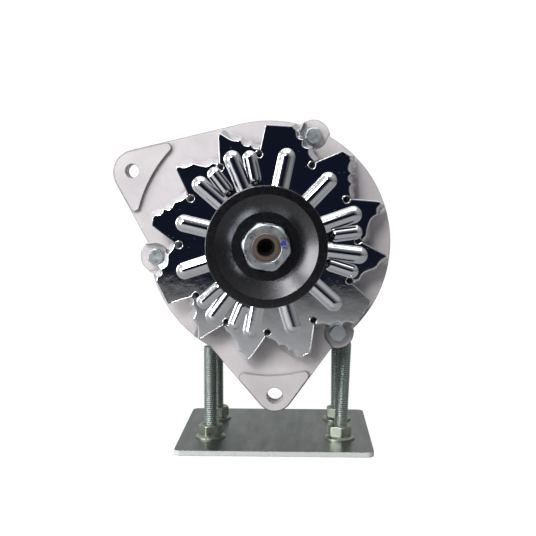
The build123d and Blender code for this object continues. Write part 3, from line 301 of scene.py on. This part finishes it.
def shaft_end():
    """Turned steel with painted shade: near black down the centring socket, and with a dark ring near
    its rim.
    """
    made = Surface("shaft_steel", (0.30, 0.25, 0.22), 1.0, 0.42)
    scaled = made.node("ShaderNodeMath")
    scaled.operation = "MULTIPLY"
    scaled.inputs[1].default_value = 100
    made.link(made.from_shaft(), scaled.inputs[0])
    # Painted shade: the socket's middle is near black.
    rings = [(0.0, (0.015, 0.013, 0.012)), (0.46, (0.03, 0.026, 0.024)), (0.49, (0.20, 0.16, 0.135)),
             (0.62, (0.26, 0.215, 0.18)), (0.70, (0.10, 0.08, 0.07)), (0.76, (0.36, 0.32, 0.28))]
    made.ramp(scaled.outputs["Value"], rings, "Base Color")
    made.edges(0.0003)
    made.bump(made.noise(700, 3), 0.00006, 0.5)
    return made.material


SHAFT_STEEL = shaft_end()
BOLT = zinc("bolt_zinc", (0.70, 0.76, 0.78), 0.36)
BY_SLOT = {"zinc_steel": ZINC, "yellow_zinc": YELLOW_ZINC, "cast_aluminium": ALUMINIUM,
           "lacquered_steel": LAMINATED, "copper": COPPER, "black_plastic": PLASTIC, "red_plastic": RED,
           "bare_steel": STEEL, "black_paint": BLACK, "bright_plate": CHROME, "graphite": GRAPHITE}
BY_NODE = {"stand_plate": PLATE, "rotor_shaft": SHAFT_STEEL, "through_bolts": BOLT,
           "through_bolt_washers": BOLT}

for node, obj in frame["nodes"].items():
    slot_name = next(s["material_slot"] for s in frame["record"]["subparts"] if s["node"] == node)
    material = BY_NODE.get(node, BY_SLOT[slot_name])
    for slot in obj.material_slots:
        slot.material = material
    if not obj.material_slots:
        obj.data.materials.append(material)

# ---- mesh helpers --------------------------------------------------------------------------------


def placed(name, data):
    """Object with its mesh, light or camera, linked into the scene."""
    obj = bpy.data.objects.new(name, data)
    bpy.context.scene.collection.objects.link(obj)
    return obj


def piece(name, verts, faces, material, body, smooth=True, angle=35):
    """New mesh piece that rides on a body and shades smooth below an angle."""
    mesh = bpy.data.meshes.new(name)
    mesh.from_pydata([tuple(v) for v in verts], [], faces)
    mesh.update()
    obj = placed(name, mesh)
    mesh.materials.append(material)
    if smooth:
        shade(obj, angle)
        weighted = obj.modifiers.new("normals", "WEIGHTED_NORMAL")
        weighted.keep_sharp = True
    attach(obj, body)
    return obj


def shade(obj, angle):
    """Smooth shading with edges kept sharp above an angle."""
    data = bmesh.new()
    data.from_mesh(obj.data)
    bmesh.ops.remove_doubles(data, verts=data.verts, dist=1e-7)
    bmesh.ops.recalc_face_normals(data, faces=data.faces)
    for face in data.faces:
        face.smooth = True
    for edge in data.edges:
        if len(edge.link_faces) == 2:
            edge.smooth = edge.calc_face_angle(0) < math.radians(angle)
    data.to_mesh(obj.data)
    data.free()


def bevel(obj, width, segments, angle):
    """Bevel modifier on the sharp edges."""
    made = obj.modifiers.new("bevel", "BEVEL")
    made.width = width * MM
    made.segments = segments
    made.limit_method = "ANGLE"
    made.angle_limit = math.radians(angle)
    made.harden_normals = False


def turned(name, profile, material, body, segments):
    """Piece turned about the shaft from (u, radius) points in millimetres."""
    verts = []
    for i in range(segments):
        turn = 2 * math.pi * i / segments
        verts += [at(r * math.cos(turn), r * math.sin(turn), u) for u, r in profile]
    count = len(profile)
    faces = [(i * count + j, i * count + (j + 1) % count,
              (i + 1) % segments * count + (j + 1) % count, (i + 1) % segments * count + j)
             for i in range(segments) for j in range(count)]
    return piece(name, verts, faces, material, body)


def rounded(profile, corners, steps):
    """Profile with some of its corners rounded: corners maps point index to radius."""
    out = []
    count = len(profile)
    for i, point in enumerate(profile):
        if i not in corners:
            out.append(point)
            continue
        here = Vector(point)
        before = (Vector(profile[i - 1]) - here).normalized()
        after = (Vector(profile[(i + 1) % count]) - here).normalized()
        radius = corners[i]
        for step in range(steps + 1):
            t = step / steps
            start, end = here + before * radius, here + after * radius
            out.append(tuple(start * (1 - t) ** 2 + here * 2 * t * (1 - t) + end * t * t))
    return out


# ---- fan -----------------------------------------------------------------------------------------
teeth = [(angle + 120 * i, lead) for i in range(3) for angle, lead in TEETH]
BEND_RADIUS, VANE_LENGTH, VANE_TILT = 1.1, 7.6, math.radians(70)
FLANK_STEPS, ARC_STEPS, BORE_POINTS = 6, 16, 64


def wavy(next_hole, samples=40):
    """Bend line from a tooth's tip in to the next relief hole, with its outward side vector."""
    tip = clock(TIP_RADIUS, next_hole - TIP_END - 0.8)
    root = clock(HOLE_CIRCLE + HOLE_RADIUS, next_hole)
    along = (root - tip).normalized()
    side = Vector((-along.y, along.x))
    if side.dot(clock(1, next_hole + 90)) < 0:
        side = -side
    points = []
    for i in range(samples):
        t = i / (samples - 1)
        swing = abs(math.sin(math.pi * (2.6 * t + 0.3 * math.sin(5 * t + next_hole))))
        ripple = (1.1 - 2.4 * swing ** 0.8) * math.sin(math.pi * t) ** 0.7
        points.append(tip + (root - tip) * t + side * ripple)
    return points, side


def fan_mesh():
    """Pressed fan: flat sheet with relief holes, and rounded, wavy bends that carry the vanes."""
    data = bmesh.new()
    outline = []
    bends = []  # where each bend starts in the outline, its points, and its outward side
    cuts = []
    for i, (hole, lead) in enumerate(teeth):
        next_hole = teeth[i + 1][0] if i + 1 < len(teeth) else teeth[0][0] + 360
        start_angle = min(hole + lead, next_hole - TIP_END - 1.6)
        start = clock(TIP_RADIUS - 0.4, start_angle)
        foot = clock(HOLE_CIRCLE + HOLE_RADIUS, hole + HOLE_MOUTH)
        flank = [foot + (start - foot) * k / FLANK_STEPS for k in range(FLANK_STEPS + 1)]
        outline += flank
        points, side = wavy(next_hole)
        cuts.append(flank + [points[0]])
        bends.append((len(outline), points, side))
        outline += points
        centre = clock(HOLE_CIRCLE, next_hole)
        first = points[-1] - centre
        last = clock(HOLE_CIRCLE + HOLE_RADIUS, next_hole + HOLE_MOUTH) - centre
        angle0 = math.atan2(first.y, first.x)
        angle1 = math.atan2(last.y, last.x)
        while angle1 < angle0:
            angle1 += 2 * math.pi
        turns = [angle0 + (angle1 - angle0) * k / ARC_STEPS for k in range(1, ARC_STEPS)]
        arc = [centre + Vector((math.cos(turn), math.sin(turn))) * HOLE_RADIUS for turn in turns]
        outline += arc
        cuts.append(arc + [last + centre])
    verts = [data.verts.new(at(p.x, p.y, FAN_U)) for p in outline]
    loop = [data.edges.new((verts[i], verts[(i + 1) % len(verts)])) for i in range(len(verts))]
    bore = [data.verts.new(at(*clock(BORE_RADIUS, 360 / BORE_POINTS * i), FAN_U))
            for i in range(BORE_POINTS)]
    loop += [data.edges.new((bore[i], bore[(i + 1) % BORE_POINTS])) for i in range(BORE_POINTS)]
    bmesh.ops.triangle_fill(data, use_beauty=True, use_dissolve=False, edges=loop, normal=(0, -1, 0))
    for first, inner, side in bends:
        rows = [verts[first:first + len(inner)]]
        sections = []  # distances outward and back, round the bend and then along the vane
        for k in range(1, 6):
            turn = VANE_TILT * k / 5
            sections.append((BEND_RADIUS * math.sin(turn), BEND_RADIUS * (1 - math.cos(turn))))
        base = sections[-1]
        sections += [(base[0] + VANE_LENGTH * math.cos(VANE_TILT) * k / 3,
                      base[1] + VANE_LENGTH * math.sin(VANE_TILT) * k / 3) for k in range(1, 4)]
        for away, deep in sections:
            rows.append([data.verts.new(at(p.x + side.x * away, p.y + side.y * away, FAN_U + deep))
                         for p in inner])
        for upper, lower in zip(rows, rows[1:]):
            for k in range(len(upper) - 1):
                data.faces.new((upper[k], upper[k + 1], lower[k + 1], lower[k]))
    bmesh.ops.recalc_face_normals(data, faces=data.faces)
    if sum(face.normal.y * face.calc_area() for face in data.faces) > 0:  # the front looks to -Y
        bmesh.ops.reverse_faces(data, faces=data.faces)
    for face in data.faces:
        face.smooth = True
    mesh = bpy.data.meshes.new("fan_sheet")
    data.to_mesh(mesh)
    data.free()
    return mesh, cuts


def rolled_edge(name, path, radius=0.42, sides=10):
    """Rounded edge that the press leaves along a cut: a fine tube along the sheet's outline."""
    verts, faces = [], []
    for k, point in enumerate(path):
        along = (path[min(k + 1, len(path) - 1)] - path[max(k - 1, 0)]).normalized()
        across = Vector((-along.y, along.x))
        for j in range(sides):
            turn = 2 * math.pi * j / sides
            spot = point + across * (radius * math.cos(turn))
            verts.append(at(spot.x, spot.y, FAN_U + radius * 0.8 - radius * math.sin(turn)))
    for k in range(len(path) - 1):
        for j in range(sides):
            faces.append((k * sides + j, k * sides + (j + 1) % sides,
                          (k + 1) * sides + (j + 1) % sides, (k + 1) * sides + j))
    last = (len(path) - 1) * sides
    faces += [tuple(range(sides)), tuple(last + j for j in range(sides))]
    return piece(name, verts, faces, CHROME, "rotor", angle=70)


fan_shape, fan_cuts = fan_mesh()
fan = placed("fan_sheet", fan_shape)
fan.data.materials.append(CHROME)
solid = fan.modifiers.new("sheet", "SOLIDIFY")
solid.thickness = FAN_SHEET * MM
solid.offset = -1
bevel(fan, 0.2, 2, 50)
fan.modifiers.new("normals", "WEIGHTED_NORMAL").weight = 80
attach(fan, "rotor")
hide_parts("fan")


def bead(name, angle, inner, outer, width, height=2.3):
    """Pressed bead: a long dome with a filleted foot, on the sheet's front."""
    half = width / 2
    section = [(1.0, -0.4), (0.75, 0.02), (0.35, 0.1), (0.05, 0.34)]
    crown = (half * half + height * height) / (2 * height)
    for k in range(12):
        out = -0.12 * half - k / 11 * (0.88 * half - 0.15)
        section.append((out, height - crown + math.sqrt(crown ** 2 - (half + out) ** 2)))
    axis = clock(1, angle)
    across = Vector((-axis.y, axis.x))
    length = (outer - inner) / 2 - half
    middle = clock((inner + outer) / 2, angle)
    verts, faces = [], []
    ends = 14
    for out, rise in section:
        radius = max(half + out, 0.15)
        ring = []
        for sign in (1, -1):
            for k in range(ends + 1):
                turn = math.pi * k / ends - math.pi / 2
                ring.append(middle + axis * (sign * (length + radius * math.cos(turn)))
                            + across * (sign * radius * math.sin(turn)))
        verts += [at(p.x, p.y, FAN_U - rise) for p in ring]
    count = 2 * (ends + 1)
    for i in range(len(section) - 1):
        for k in range(count):
            faces.append((i * count + k, i * count + (k + 1) % count,
                          (i + 1) * count + (k + 1) % count, (i + 1) * count + k))
    last = (len(section) - 1) * count
    faces.append(tuple(last + k for k in range(count)))
    return piece(name, verts, faces, CHROME, "rotor", angle=80)


for number, cut in enumerate(fan_cuts):
    rolled_edge(f"fan_edge_{number}", cut)
for repeat in range(3):
    for number, (angle, inner, outer, width) in enumerate(BEADS):
        bead(f"fan_bead_{repeat}_{number}", angle + 120 * repeat, inner, outer, width)

# ---- pulley --------------------------------------------------------------------------------------
# Depths are u values behind the bracket's face, so the front is the most negative.
PULLEY_FRONT, PULLEY_BACK, PULLEY_R = -42.0, -16.0, 32.5
CONE_OUTER, CONE_INNER, HUB_FACE_U = 27.6, 18.5, -36.8
WASHER_SEAT_RADIUS, WASHER_SEAT_U, PULLEY_BORE = 13.6, -35.0, 8.5
GROOVE_HALF_TOP, GROOVE_HALF_FLOOR, GROOVE_FLOOR = 6.5, 2.77, 21.0
middle_u = (PULLEY_FRONT + PULLEY_BACK) / 2
profile = [(PULLEY_BACK, PULLEY_BORE), (PULLEY_BACK, PULLEY_R), (middle_u + GROOVE_HALF_TOP, PULLEY_R),
           (middle_u + GROOVE_HALF_FLOOR, GROOVE_FLOOR), (middle_u - GROOVE_HALF_FLOOR, GROOVE_FLOOR),
           (middle_u - GROOVE_HALF_TOP, PULLEY_R), (PULLEY_FRONT, PULLEY_R), (PULLEY_FRONT, CONE_OUTER),
           (HUB_FACE_U, CONE_INNER), (HUB_FACE_U, WASHER_SEAT_RADIUS),
           (WASHER_SEAT_U, WASHER_SEAT_RADIUS), (WASHER_SEAT_U, PULLEY_BORE)]
profile = rounded(profile, {1: 0.8, 2: 0.5, 3: 1.0, 4: 1.0, 5: 0.5, 6: 0.7, 7: 0.25, 8: 0.25}, 3)
pulley = turned("pulley_turned", profile, BLACK, "rotor", 200)
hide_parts("pulley")

# ---- threads, nuts and studs ---------------------------------------------------------------------


def threaded(name, base, along, length, diameter, pitch, material, body, chamfer=0.6, segments=28):
    """Threaded rod with a real helix, from a base point in millimetres along a unit vector."""
    depth = 0.42 * pitch
    core = diameter / 2 - depth
    along = Vector(along)
    side = along.orthogonal().normalized()
    other = along.cross(side)
    # Place in the pitch, and height as a share of the thread's depth.
    shape = [(0.0, 1.0), (0.14, 1.0), (0.5, 0.0), (0.62, 0.0)]
    turns = length / pitch
    verts, faces = [], []
    steps = int(turns * segments)
    for i in range(steps + segments + 1):
        turn = 2 * math.pi * i / segments
        for place, level in shape:
            height = (i / segments - 1 + place) * pitch
            height = min(max(height, 0), length)
            fade = min(1, (length - height) / chamfer, height / chamfer)
            radius = core + depth * level * max(fade, 0)
            around = side * math.cos(turn) + other * math.sin(turn)
            verts.append((Vector(base) + along * height + around * radius) * MM)
    count = len(shape)
    for i in range(steps + segments):
        for j in range(count - 1):
            faces.append((i * count + j, i * count + j + 1,
                          (i + 1) * count + j + 1, (i + 1) * count + j))
        if i + segments <= steps + segments - 1:
            faces.append((i * count + count - 1, (i + segments) * count, (i + segments + 1) * count,
                          (i + 1) * count + count - 1))
    first = len(verts)
    for end in (0, length):
        for k in range(segments):
            turn = 2 * math.pi * k / segments
            around = side * math.cos(turn) + other * math.sin(turn)
            verts.append((Vector(base) + along * end + around * core) * MM)
        faces.append(tuple(first + k for k in range(segments)))
        first = len(verts)
    return piece(name, verts, faces, material, body, angle=50)


def hexagon(name, centre, along, height, flats, bore, turn, material, body, chamfer):
    """Hexagon nut or head whose ends are turned back: rings of points between hexagon and circle."""
    along = Vector(along)
    side = Vector((1, 0, 0)) if abs(along.x) < 0.5 else Vector((0, 1, 0))
    other = along.cross(side)
    count = 96
    inner = max(bore / 2, 0.02)
    cut_back = 1.108 if flats > 20 else 1.13  # corner radius as a share of half the flats

    def rim_point(place, angle, radius):
        """Point in metres at a height along the nut, an angle and a radius."""
        around = side * math.cos(angle) + other * math.sin(angle)
        return (Vector(centre) + along * place + around * radius) * MM

    def corner(angle):
        """Radius of the hexagon, with its corners turned back."""
        local = (math.degrees(angle) - turn) % 60 - 30
        return min(flats / 2 / math.cos(math.radians(local)), flats / 2 * cut_back)

    def limit(level, angle):
        """Radius of the turned cone at a distance from an end."""
        return min(corner(angle), flats / 2 * 0.975 + level * 1.3)

    levels = [0, chamfer * 0.25, chamfer * 0.5, chamfer * 0.8, chamfer * 1.2]
    rows = [(0, None)] + [(level, level) for level in levels]
    upper = [(height - level, level) for level in reversed(levels)] + [(height, None)]
    verts, faces = [], []
    for place, level in rows + upper:
        for k in range(count):
            angle = 2 * math.pi * k / count
            radius = inner + (0.35 if bore else 0) if level is None else limit(level, angle)
            verts.append(rim_point(place, angle, radius))
    total = len(rows + upper)
    if bore:
        for place in (height - 0.4, 0.4):
            for k in range(count):
                verts.append(rim_point(place, 2 * math.pi * k / count, inner))
        total += 2
    for i in range(total if bore else total - 1):
        for k in range(count):
            faces.append((i * count + k, i * count + (k + 1) % count,
                          (i + 1) % total * count + (k + 1) % count, (i + 1) % total * count + k))
    return piece(name, verts, faces, material, body, angle=32)


STUD_SPOTS = [(-39, -20.5), (39, -20.5), (-39, 25.5), (39, 25.5)]
STUD_MIDDLE_Y = 2.5  # halfway between the front and the rear pair
LEANING_STUD, LEAN = 1, math.radians(2.6)  # the right front rod stands a little askew
tops = {}
for vertex in frame["nodes"]["stand_studs"].data.vertices:
    quarter = (vertex.co.x > 0, vertex.co.y > STUD_MIDDLE_Y * MM)
    tops[quarter] = max(tops.get(quarter, 0), vertex.co.z)
for index, (px, py) in enumerate(STUD_SPOTS):
    top = tops[(px > 0, py > STUD_MIDDLE_Y)] / MM
    lean = LEAN if index == LEANING_STUD else 0.0
    along = (math.sin(lean), 0, math.cos(lean))
    stud = threaded(f"stud_thread_{index}", (px, py, 0.0), along, top, 8.0, 1.25, STUD, "housing")
    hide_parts("stand_studs")

# Section of a stand nut's flange as (radius, height).
FLANGE = [(4.2, 3.0), (9.0, 3.0), (9.0, 3.9), (8.6, 4.2), (7.2, 4.7), (6.4, 5.2), (4.2, 5.2)]
FLANGE_STEPS = 72
for index, (px, py) in enumerate(STUD_SPOTS):
    nut = hexagon(f"flange_nut_{index}", (px, py, 4.4), (0, 0, 1), 6.6, 13.0, 8.2, 12 + 25 * index,
                  YELLOW_ZINC, "housing", 1.1)
    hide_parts("stand_nuts")
    angles = [2 * math.pi * k / FLANGE_STEPS for k in range(FLANGE_STEPS)]
    verts = [Vector((px + r * math.cos(a), py + r * math.sin(a), z)) * MM
             for a in angles for r, z in FLANGE]
    count = len(FLANGE)
    faces = [(i * count + j, i * count + (j + 1) % count,
              (i + 1) % FLANGE_STEPS * count + (j + 1) % count, (i + 1) % FLANGE_STEPS * count + j)
             for i in range(FLANGE_STEPS) for j in range(count)]
    flange = piece(f"nut_flange_{index}", verts, faces, YELLOW_ZINC, "housing", angle=40)
    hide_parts("stand_nuts")

# Pulley nut.
nut = hexagon("pulley_hex_nut", at(0, 0, HUB_FACE_U) / MM, (0, -1, 0), 7.8, 24.0, 16.0, -10,
              ZINC, "rotor", 1.8)
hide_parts("pulley_nut")

# ---- drive-end bracket ---------------------------------------------------------------------------
# The casting's skirt is drafted: it leaves the face disc at the face's own radius.
bracket = placed("bracket_casting", frame["nodes"]["drive_end_bracket"].data.copy())
SKIRT_START_U, SKIRT_LENGTH, SKIRT_FRONT_RADIUS, SKIRT_DRAFT = 10, 26, 68.9, 1.5
for vertex in bracket.data.vertices:
    x, z = vertex.co.x / MM - SHAFT.x, vertex.co.z / MM - SHAFT.z
    u, radius = vertex.co.y / MM - SHAFT.y, math.hypot(x, z)
    if u > SKIRT_START_U - 0.1 and 69.2 < radius < 71.3:  # only the skirt's outer wall
        target = SKIRT_FRONT_RADIUS + (u - SKIRT_START_U) / SKIRT_LENGTH * SKIRT_DRAFT
        vertex.co = at(x * target / radius, z * target / radius, u)
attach(bracket, "housing")
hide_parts("drive_end_bracket")

# ---- through-bolt heads --------------------------------------------------------------------------
BOLT_CIRCLE, BOLT_FIRST_ANGLE, BOLT_SEAT_U = 65.5, 67.3, 2.75
for index in range(3):
    angle = math.radians(BOLT_FIRST_ANGLE + 120 * index)
    spot = Vector((BOLT_CIRCLE * math.cos(angle), BOLT_CIRCLE * math.sin(angle)))
    hexagon(f"bolt_head_{index}", at(spot.x, spot.y, BOLT_SEAT_U) / MM, (0, -1, 0), 3.6, 8.6, 0,
            20 * index + 8, BOLT, "housing", 0.8)

# Painted witness mark, just in front of the nut's face.
MARK_U = -44.63
mark_angle = math.radians(13)
mark = [at(r * math.cos(mark_angle + side), r * math.sin(mark_angle + side), MARK_U)
        for r, side in ((8.1, -0.11), (10.9, -0.12), (11.0, 0.10), (9.4, 0.17), (8.1, 0.06))]
piece("witness_mark", mark, [tuple(range(5))], BLUE, "rotor", smooth=False)

# ---- studio --------------------------------------------------------------------------------------


def plane(name, corners, material):
    """Flat backdrop that belongs to the stage."""
    mesh = bpy.data.meshes.new(name)
    mesh.from_pydata(corners, [], [(0, 1, 2, 3)])
    obj = placed(name, mesh)
    mesh.materials.append(material)


floor_look = Surface("floor", (0.42, 0.42, 0.43), 0.0, 0.55)
floor_look.bump(floor_look.noise(300, 3), 0.00002, 0.2)
reach = floor_look.node("ShaderNodeSeparateXYZ")
floor_look.link(floor_look.coords, reach.inputs["Vector"])
# Painted shade: the floor's colour darkens towards the front, standing in for less light there, where
# plated faces mirror it.
fade = floor_look.map_range(reach.outputs["Y"], -0.80, -0.35)
floor_look.ramp(fade, [(0.0, 0.04), (1.0, 0.27)], "Base Color")
seen = floor_look.node("ShaderNodeEmission", Strength=1.05)
seen.inputs["Color"].default_value = (1, 1, 1, 1)
# The camera sees the floor as plain white: the veil alone reaches full white, so no shadow shows.
path = floor_look.node("ShaderNodeLightPath")
veil = floor_look.node("ShaderNodeMixShader")
share = floor_look.node("ShaderNodeMath")
share.operation = "MULTIPLY"
share.inputs[1].default_value = 0.97
floor_look.link(path.outputs["Is Camera Ray"], share.inputs[0])
floor_look.link(share.outputs["Value"], veil.inputs["Fac"])
floor_look.link(floor_look.shader.outputs["BSDF"], veil.inputs[1])
floor_look.link(seen.outputs["Emission"], veil.inputs[2])
floor_look.link(veil.outputs["Shader"], floor_look.tree.nodes["Material Output"].inputs["Surface"])
plane("floor", [(-1.6, -0.95, 0), (1.6, -0.95, 0), (1.6, 6.0, 0), (-1.6, 6.0, 0)], floor_look.material)


def area_light(name, location, aim_height, width, height, power):
    """White rectangular lamp that faces a height on the frame's upright axis, in metres."""
    light = bpy.data.lights.new(name, "AREA")
    light.shape = "RECTANGLE"
    light.size = width
    light.size_y = height
    light.energy = power
    obj = placed(name, light)
    obj.location = location
    aim = Vector((0, 0, aim_height)) - Vector(location)
    obj.rotation_euler = aim.to_track_quat("-Z", "Y").to_euler()


area_light("key_left", (-1.12, -0.80, 0.24), 0.12, 0.6, 1.0, 15)
area_light("front_left", (-0.62, -1.3, 1.05), 0.12, 0.6, 0.5, 18)
area_light("top", (0.0, -0.15, 1.35), 0.1, 1.4, 0.9, 6)

# The world is dim on the camera's side, brighter to the left and above, and white for camera rays.
world = bpy.data.worlds.new("studio")
bpy.context.scene.world = world
world.use_nodes = True
nodes, links = world.node_tree.nodes, world.node_tree.links


def world_range(value, start, end, low=0.0, high=1.0):
    """World node that maps a socket's value from start..end to low..high."""
    made = nodes.new("ShaderNodeMapRange")
    for key, number in zip(("From Min", "From Max", "To Min", "To Max"), (start, end, low, high)):
        made.inputs[key].default_value = number
    links.new(value, made.inputs["Value"])
    return made.outputs["Result"]


coords = nodes.new("ShaderNodeTexCoord")
split = nodes.new("ShaderNodeSeparateXYZ")
links.new(coords.outputs["Generated"], split.inputs["Vector"])
slope = nodes.new("ShaderNodeVectorMath")
slope.operation = "DOT_PRODUCT"
slope.inputs[1].default_value = (-0.48, 0.0, 0.45)
links.new(coords.outputs["Generated"], slope.inputs[0])
tones = nodes.new("ShaderNodeMixRGB")
tones.inputs["Color1"].default_value = (0.006, 0.008, 0.018, 1)
links.new(world_range(slope.outputs["Value"], -0.45, 0.55, 0.22, 0.72), tones.inputs["Color2"])
links.new(world_range(split.outputs["Y"], -0.95, -0.35), tones.inputs["Fac"])
background = nodes["Background"]
links.new(tones.outputs["Color"], background.inputs["Color"])
white = nodes.new("ShaderNodeBackground")
white.inputs["Color"].default_value = (1, 1, 1, 1)
white.inputs["Strength"].default_value = 1.05
rays = nodes.new("ShaderNodeLightPath")
mix = nodes.new("ShaderNodeMixShader")
links.new(rays.outputs["Is Camera Ray"], mix.inputs["Fac"])
links.new(background.outputs["Background"], mix.inputs[1])
links.new(white.outputs["Background"], mix.inputs[2])
links.new(mix.outputs["Shader"], nodes["World Output"].inputs["Surface"])

camera_data = bpy.data.cameras.new("camera")
camera_data.lens = 61.3
camera_data.sensor_width = 36
camera_data.clip_start = 0.01
camera = placed("camera", camera_data)
camera.location = (0.0148, -0.5615, 0.1525)
camera.rotation_euler = Vector((-0.0352, 1, -0.0866)).to_track_quat("-Z", "Y").to_euler()
bpy.context.scene.camera = camera
bpy.context.scene.view_settings.view_transform = "Standard"
